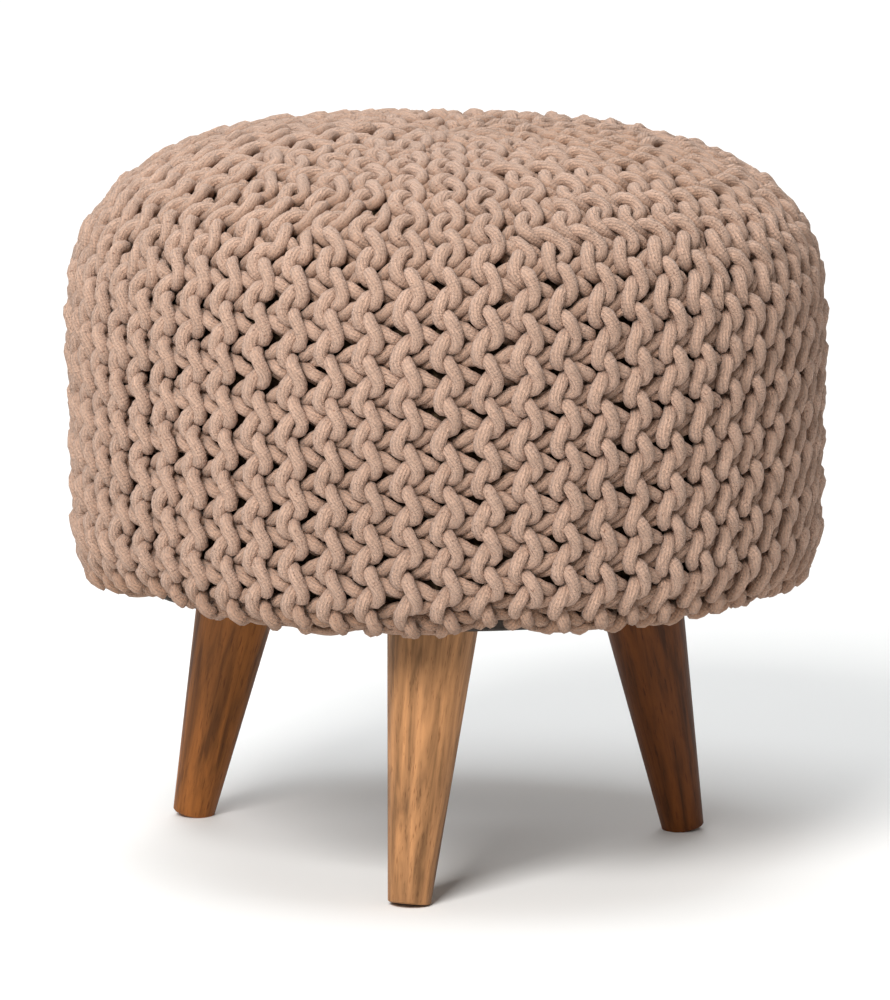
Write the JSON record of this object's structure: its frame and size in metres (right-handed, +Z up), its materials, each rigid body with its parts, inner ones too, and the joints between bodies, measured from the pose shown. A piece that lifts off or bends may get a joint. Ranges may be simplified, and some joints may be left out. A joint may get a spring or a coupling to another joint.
{
  "type": "round knitted footstool",
  "caption": "Round footstool with a thick knitted, filled seat and splayed tapered wooden legs.",
  "frame": {"origin": "on the floor under the middle of the seat, at the bottom centre of the whole stool", "axes": "+Z up, out of the top of the seat; -Y is the front, towards the leg that stands foremost; +X to the right as seen from the front"},
  "size_m": [0.4194, 0.4194, 0.4048],
  "materials": {
    "knitted_yarn": "thick matt cotton cord, garter stitch, dusty beige pink",
    "board": "dark stained board with a dark cover cloth under it",
    "wood": "brown wood with long grain and a thin satin lacquer"
  },
  "bodies": {
    "root": {"knitted_seat": "knitted_yarn", "base_board": "board", "leg_front": "wood", "leg_left": "wood", "leg_right": "wood"}
  },
  "joints": []
}
